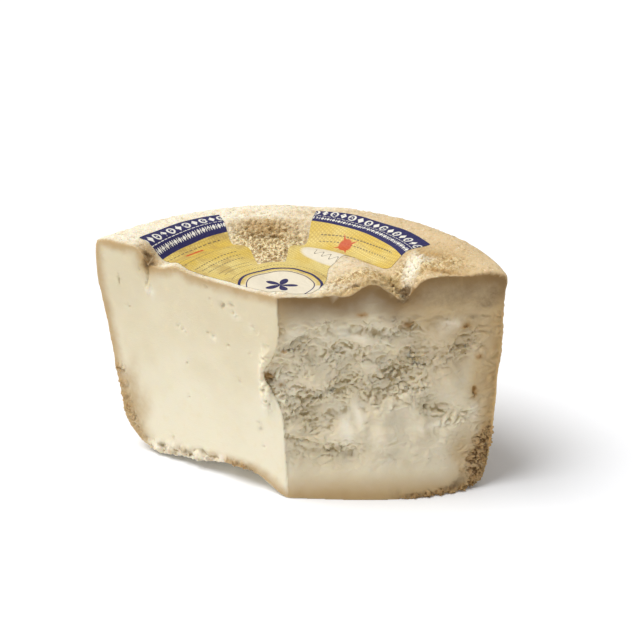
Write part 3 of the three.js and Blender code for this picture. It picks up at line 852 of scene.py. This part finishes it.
def paste_color(tree, hollow_shade):
    """The inside of the cheese: ivory on the smooth cut, browner towards the rind, a little darker on
    the broken face as painted shade, and with painted shade in its hollows and pits.
    """
    broken = number(tree, "broken")
    clouds = noise(tree, 26, 3)
    upper = plus(parts_of(place_in(tree))["Z"], times(minus(clouds, 0.5), 0.1))
    even = blend(spread(upper, 0.03, 0.11), IVORY, UPPER_IVORY)
    even = blend(spread(noise(tree, 7, 5, 0.65), 0.5, 0.75, 0.0, 0.5), even, CURD)
    # Painted shade: the broken face's paste is a little darker than the smooth cut's, for the
    # half-shade it lies in, with warmer clouds.
    torn = blend(spread(clouds, 0.3, 0.7), BROKEN_IVORY_SHADED, BROKEN_WARM_SHADED)
    color = blend(broken, even, torn)
    ragged = times(minus(noise(tree, 9, 4), 0.5), 0.006)
    side = plus(number(tree, "under_side"), ragged)
    top = plus(number(tree, "under_top"), ragged)
    near_side = calc("MAXIMUM", spread(side, 0.0090, 0.0005, 0.0, 0.95),
                     spread(top, 0.0075, 0.0005, 0.0, 0.95))
    color = blend(near_side, color, UNDER_SIDE)
    wide = times(broken, spread(side, 0.016, 0.0, 0.0, 0.6))
    color = blend(wide, color, UNDER_SIDE)
    under_top = times(broken, spread(top, 0.024, 0.002, 0.0, 0.92))
    color = blend(under_top, color, UNDER_TOP)
    # Painted shade: the paste turns olive in its hollows, the deeper the darker.
    color = blend(spread(hollow_shade, 0.18, 0.90, 0.0, 0.72), color, PIT_SHADE_OLIVE)
    # Painted shade: dark brown specks in the pits of the crumbled places.
    specks = spread(noise(tree, 2.0, 3, 0.6), 0.58, 0.70)
    specks = times(specks, number(tree, "crumbled"))
    in_pits = times(specks, spread(hollow_shade, -0.05, 0.35))
    return blend(in_pits, color, PIT_SPECK_SHADE, 0.7)


def rind_color(tree, hollow_shade):
    """The rind: cream to tan with fine olive specks, browner ground where it lies open, and painted
    shade in its hollows.
    """
    patchy = times(noise(tree, 24, 4, 0.6), 0.12)
    tanned = spread(plus(parts_of(place_in(tree))["X"], patchy), 0.02, 0.13)
    color = blend(tanned, RIND_CREAM, RIND_TAN, 0.95)
    mottle = spread(noise(tree, 7, 5, 0.7), 0.46, 0.66)
    color = blend(mottle, color, RIND_TAN, 0.55)
    side = number(tree, "side")
    aged = spread(noise(tree, 20, 7, 0.7), 0.34, 0.66)
    old = blend(aged, SIDE_TAN, SIDE_BROWN)
    old = blend(spread(noise(tree, 13, 7, 0.75, 0.4), 0.50, 0.70, 0.0, 0.6), old, SIDE_GREY)
    color = blend(side, color, old, 0.85)
    crowded = spread(noise(tree, 10, 4, 0.6), 0.40, 0.62, 0.1, 1.0)
    specks = times(spread(noise(tree, 3.0, 6, 0.8), 0.52, 0.64), crowded)
    color = blend(specks, color, RIND_OLIVE_SPECK_AND_SHADE, 0.95)
    bloom = times(spread(noise(tree, 2.0, 5, 0.75), 0.54, 0.68), crowded)
    color = blend(bloom, color, RIND_BLOOM, 0.7)
    grains = spread(noise(tree, 2.2, 3, 0.6), 0.44, 0.56)
    ground = blend(grains, GROUND_BROWN, GROUND_TAN)
    color = blend(number(tree, "grit"), color, ground, 0.85)
    # Painted shade: olive in the rind's hollows.
    return blend(spread(hollow_shade, 0.08, 0.6, 0.0, 0.8), color, RIND_OLIVE_SPECK_AND_SHADE)


# The tone masks laid on paste and rind, stains with the umber's painted shade and the pale's painted
# highlight among them: name, tone, size in mm of its ragged edge, and strength.
STAIN_AND_PAINTED_LIGHT_TONES = (
    ("tan", TAN_TONE, 9, 0.75), ("pale", PALE_PASTE_AND_HIGHLIGHT, 5, 0.9), ("moss", MOSS_TONE, 3, 0.9),
    ("rust", RUST_TONE, 3, 0.9), ("umber_and_shade", UMBER_AND_SHADE_TONE, 2.5, 0.9),
)


def crusted_color(tree, color, crust, hollow_shade):
    """The hard crusts: tan lumps with dark grains, darker in their cavities as painted shade."""
    ragged = broken_up(tree, crust, 4)
    color = blend(ragged, color, CRUST_TAN, 0.8)
    grit = plus(noise(tree, 1.3, 3, 0.6), times(hollow_shade, 0.2))
    darker = plus(grit, times(minus(crust, 0.7), 0.3))
    dark = spread(darker, 0.45, 0.80, 0.0, 0.9)
    return blend(times(ragged, dark), color, CRUST_DARK)


def cheese_material():
    """Paste and rind in one material, told apart by the masks that the mesh keeps."""
    material, tree, shader = new_material("cheese paste and rind", IVORY)
    rind, hollow_shade, crust = number(tree, "rind"), number(tree, "hollow_shade"), number(tree, "crust")
    color = blend(rind, paste_color(tree, hollow_shade), rind_color(tree, hollow_shade))
    # The tone masks lay their stains, the umber's painted shade and the pale's painted highlight over
    # paste and rind.
    for name, tone, size_mm, strength in STAIN_AND_PAINTED_LIGHT_TONES:
        mask = times(broken_up(tree, number(tree, name), size_mm), strength)
        if name == "pale":
            mask = times(mask, spread(hollow_shade, 0.1, 0.5, 1.0, 0.2))
        color = blend(mask, color, tone)
    color = crusted_color(tree, color, crust, hollow_shade)

    dull = calc("MAXIMUM", rind, crust)
    grain = plus(noise(tree, 0.8, 2), noise(tree, 2.5, 4))
    height = times(grain, spread(dull, 0, 1, 0.5, 1.6))
    bump = add_node(tree, "Bump", {"Height": height, "Strength": 0.6, "Distance": 0.0005})
    connect(shader, {
        "Base Color": color, "Roughness": spread(dull, 0, 1, 0.5, 0.8),
        "Normal": bump.outputs["Normal"], "Specular IOR Level": 0.25, "Subsurface Weight": 0.5,
        "Subsurface Scale": 1.0, "Subsurface Radius": (0.0024, 0.0017, 0.001),
    })
    return material


# The label's inks.
YELLOW = (0.71, 0.50, 0.085)
PALE_YELLOW = (0.80, 0.66, 0.25)
OLD_YELLOW = (0.42, 0.26, 0.06)
NAVY = (0.022, 0.019, 0.095)
CREAM_PRINT = (0.85, 0.82, 0.72)
WHITE_PAPER = (0.80, 0.73, 0.59)
RED_INK = (0.56, 0.06, 0.014)
DARK_INK = (0.11, 0.085, 0.06)


def mark(across, up, half_width, half_height, power=2.0):
    """A filled shape in mm about 0: power 1 is a lozenge, 2 an oval and 8 nearly a rectangle."""
    parts = []
    for value, half in ((across, half_width), (up, half_height)):
        share = calc("DIVIDE", calc("ABSOLUTE", value), half)
        parts.append(calc("POWER", share, power))
    return spread(plus(*parts), 1 + 0.12 * power, 1 - 0.12 * power)


def line(across, half_width):
    """A line along 0, in mm, with soft edges."""
    share = calc("DIVIDE", calc("ABSOLUTE", across), half_width)
    return spread(calc("POWER", share, 2.0), 1.24, 0.76)


def row_of(value, period, shift=0.0):
    """Repeats a length every period, from -period/2 to period/2."""
    moved = calc("FLOORED_MODULO", plus(value, shift + 500 * period), period)
    return minus(moved, period / 2)


def either(*masks):
    result = masks[0]
    for mask in masks[1:]:
        result = calc("MAXIMUM", result, mask)
    return result


def turned(x, y, middle, degrees):
    """The plan counted from a point, along and across a direction."""
    right, above = minus(x, middle[0]), minus(y, middle[1])
    cosine, sine = math.cos(math.radians(degrees)), math.sin(math.radians(degrees))
    along_it = plus(times(right, cosine), times(above, sine))
    across_it = minus(times(above, cosine), times(right, sine))
    return along_it, across_it


def rules(radius, degrees, circles, period_deg, first_deg, last_deg):
    """Circles of short dashes between two directions: (radius, share of dash, half height)."""
    masks = []
    for circle, share, half_height in circles:
        angle = row_of(degrees, period_deg, circle)
        masks.append(mark(minus(radius, circle), angle, half_height, share * period_deg / 2, 6))
    inside = times(spread(degrees, first_deg - 0.5, first_deg + 0.5),
                   spread(degrees, last_deg + 0.5, last_deg - 0.5))
    return times(either(*masks), inside)


def ornaments(arc, radius, inner_edge):
    """Two rows of plain ornaments on the navy band: ovals and lozenges above, small ones below."""
    high = minus(radius, plus(inner_edge, 11.6))
    low = minus(radius, plus(inner_edge, 4.2))
    rule = minus(radius, plus(inner_edge, 7.4))
    oval_row = row_of(arc, 11.0)
    ovals = minus(mark(oval_row, high, 2.4, 3.1), mark(oval_row, high, 1.2, 2.2))
    lozenges = mark(row_of(arc, 11.0, 5.5), high, 1.9, 3.0, 1.0)
    dots = mark(row_of(arc, 5.5, 2.75), high, 0.55, 0.55)
    small = mark(row_of(arc, 3.6), low, 1.15, 1.7, 1.0)
    bars = mark(row_of(arc, 3.6, 1.8), low, 0.3, 1.5, 4.0)
    dashes = mark(row_of(arc, 3.0), rule, 1.2, 0.22, 6.0)
    return either(ovals, lozenges, dots, small, bars, dashes)


# The label's print, in mm from the middle of its rings: the navy band, the rings, the pale panel
# with its wavy stroke, the small sun, and the circles of dashes on either side.
BAND_INNER_MM = 76.8
BAND_MIDDLE_MM = 85
ROUND_MM = 19
RING_MM = 22.6
FINE_RING_MM = 18.5
PANEL_MM = (25.5, 40)
PANEL_DEG = -45
SUN_MM = (36.0, 56.5)
RIGHT_RULES = ((71.8, 0.75, 0.32), (68.2, 0.6, 0.28))
LEFT_RULES = (
    (73.4, 0.7, 0.35), (62.5, 0.8, 0.22), (58.5, 0.8, 0.22), (51.5, 0.65, 0.4), (47.5, 0.65, 0.4),
    (43.5, 0.7, 0.4), (37.0, 0.8, 0.25), (33.5, 0.8, 0.25),
)
DOT_RING = ((27.2, 0.6, 0.3),)
RED_BAR = ((69.8, 1.0, 1.0),)


def old_paper(tree, x, y):
    """Yellow paper with fine hatching, in paler and browner zones."""
    color = blend(spread(noise(tree, 22, 3), 0.35, 0.65), YELLOW, PALE_YELLOW)
    west = times(spread(x, 5, -60), 0.08)
    aged = spread(plus(noise(tree, 11, 5, 0.6), west), 0.5, 0.7)
    color = blend(aged, color, OLD_YELLOW, 0.6)
    hatch = either(*[line(row_of(across, 1.7), 0.3) for across in turned(x, y, (0, 0), 38)])
    return blend(hatch, color, OLD_YELLOW, 0.4)


def dark_print(radius, degrees, panel_along, panel_across):
    """One wavy stroke, circles of short dashes and a ring of dots."""
    wave = times(calc("SINE", times(panel_along, 1.1)), 2.2)
    stroke_across = minus(minus(panel_across, wave), -0.5)
    pen = mark(panel_along, stroke_across, 10.5, 0.45, 6.0)
    right = rules(radius, degrees, RIGHT_RULES, 1.9, 30, 72)
    left = rules(radius, degrees, LEFT_RULES, 2.6, 120, 158)
    dots = rules(radius, degrees, DOT_RING, 4.0, 10, 170)
    return either(pen, right, left, dots)


def red_print(x, y, radius, degrees):
    """A small sun of a disc and two crossed rays, and a short bar."""
    sun_x, sun_y = turned(x, y, SUN_MM, 0)
    rays = [mark(sun_x, sun_y, 7.6, 1.3, 1.0), mark(sun_x, sun_y, 1.3, 7.6, 1.0)]
    bar = rules(radius, degrees, RED_BAR, 4.5, 131, 142)
    return either(mark(sun_x, sun_y, 4.0, 4.0), *rays, bar)


def rings_and_rosette(radius, degrees):
    """Two rings round a plain flower of five petals."""
    petals = calc("COSINE", times(calc("RADIANS", degrees), 2.5))
    outline = times(calc("ABSOLUTE", petals), 9.5)
    rosette = spread(minus(radius, outline), 0.3, -0.3)
    return either(line(minus(radius, RING_MM), 0.8), line(minus(radius, FINE_RING_MM), 0.3), rosette)


def label_material():
    """Old printed paper: yellow, a navy border with ornaments, and a pale middle."""
    material, tree, shader = new_material("printed label paper", YELLOW)
    centre = [-(AXIS[0] + LABEL_CENTRE_MM[0]), -(AXIS[1] + LABEL_CENTRE_MM[1]), 0]
    mapping = {"Vector": place_in(tree), "Location": centre, "Scale": (1000, 1000, 0)}
    moved = add_node(tree, "Mapping", mapping).outputs["Vector"]
    parts = parts_of(moved)
    x, y = parts["X"], parts["Y"]
    radius = add_node(tree, "VectorMath", {0: moved}, operation="LENGTH").outputs["Value"]
    degrees = calc("DEGREES", calc("ARCTAN2", y, x))

    panel_along, panel_across = turned(x, y, PANEL_MM, PANEL_DEG)
    panel = mark(panel_along, panel_across, 17, 8.5, 3.0)
    front = spread(plus(y, times(noise(tree, 14, 4), 8)), 4.5, 1.0)
    white = either(panel, front, mark(x, y, ROUND_MM, ROUND_MM))
    color = blend(white, old_paper(tree, x, y), WHITE_PAPER, 0.92)
    ink = dark_print(radius, degrees, panel_along, panel_across)
    color = blend(ink, color, DARK_INK, 0.8)
    color = blend(red_print(x, y, radius, degrees), color, RED_INK, 0.9)

    arc = times(degrees, math.radians(1) * BAND_MIDDLE_MM)
    drift = times(minus(degrees, 52), 0.12)
    inner_edge = plus(times(drift, spread(degrees, 105, 90)), BAND_INNER_MM)
    band = spread(minus(radius, inner_edge), -0.15, 0.15)
    color = blend(either(band, rings_and_rosette(radius, degrees)), color, NAVY)
    print_on_band = times(band, ornaments(arc, radius, inner_edge))
    worn = spread(noise(tree, 3.5, 5, 0.7), 0.36, 0.44)
    color = blend(times(print_on_band, worn), color, CREAM_PRINT)
    color = blend(spread(noise(tree, 2.2, 5, 0.75), 0.66, 0.74), color, CREAM_PRINT, 0.5)

    fibre = noise(tree, 0.7, 3)
    creases = plus(times(noise(tree, 6, 3, 0.5, 1.2), 4.0), fibre)
    bump = add_node(tree, "Bump", {"Height": creases, "Strength": 0.5, "Distance": 0.0004})
    connect(shader, {
        "Base Color": color, "Roughness": spread(fibre, 0.3, 0.7, 0.42, 0.6),
        "Normal": bump.outputs["Normal"], "Specular IOR Level": 0.3,
    })
    return material


def floor_material():
    """A white table that glows faintly, as a lit backdrop does."""
    material, tree, shader = new_material("white table", (0.9, 0.9, 0.9))
    tone = blend(noise(tree, 200, 2), (0.89, 0.90, 0.92), (0.91, 0.92, 0.94))
    connect(shader, {"Base Color": tone, "Roughness": 0.9, "Emission Color": (1, 1, 1),
                     "Emission Strength": FLOOR_GLOW})
    return material


def finish_piece(piece, node, material):
    """Gives the piece its material, hangs it under the root body and hides the solid it stands for."""
    piece.data.materials.append(material)
    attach(piece, "root")
    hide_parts(node)


# ---------------------------------------------------------------- floor, light and camera

KEY_FROM = (-0.37, -0.04, 0.76)
KEY_SPREAD_DEG = 40
KEY_STRENGTH = 2.8
FILL_STRENGTH = 0.40
FLOOR_GLOW = 0.03


def add_floor():
    """The table under the cheese, which isn't part of it."""
    bpy.ops.object.select_all(action="DESELECT")
    bpy.ops.mesh.primitive_plane_add(size=8, location=(0, 0, 0))
    floor = bpy.context.active_object
    floor.name = "table"
    floor.data.materials.append(floor_material())


def add_light():
    """A white studio: an even fill from all round, and one wide key light from the upper left."""
    world = bpy.data.worlds.new("white studio")
    bpy.context.scene.world = world
    world.use_nodes = True
    tree = world.node_tree
    seen = add_node(tree, "LightPath").outputs["Is Camera Ray"]
    connect(tree.nodes["Background"], {"Color": (1.0, 0.99, 0.975),
                                       "Strength": spread(seen, 0, 1, FILL_STRENGTH, 1.0)})
    lamp = bpy.data.lights.new("key light", "SUN")
    lamp.angle = math.radians(KEY_SPREAD_DEG)
    lamp.energy = KEY_STRENGTH
    holder = bpy.data.objects.new("key light", lamp)
    bpy.context.scene.collection.objects.link(holder)
    holder.rotation_euler = Vector(KEY_FROM).to_track_quat("Z", "Y").to_euler()


def add_camera():
    """The photo's camera: its lens, and its place in the frame."""
    camera = bpy.data.cameras.new("camera")
    camera.lens = 85
    camera.sensor_width = 36
    holder = bpy.data.objects.new("camera", camera)
    bpy.context.scene.collection.objects.link(holder)
    holder.location = (0.01370, -0.80050, 0.44364)
    holder.rotation_euler = (math.radians(65.7), 0, 0)
    bpy.context.scene.camera = holder


add_camera()
add_floor()
add_light()
bpy.context.scene.view_settings.view_transform = "Standard"
cheese = build_cheese()
label = build_label(cheese)
finish_piece(cheese, "cheese", cheese_material())
finish_piece(label, "label", label_material())
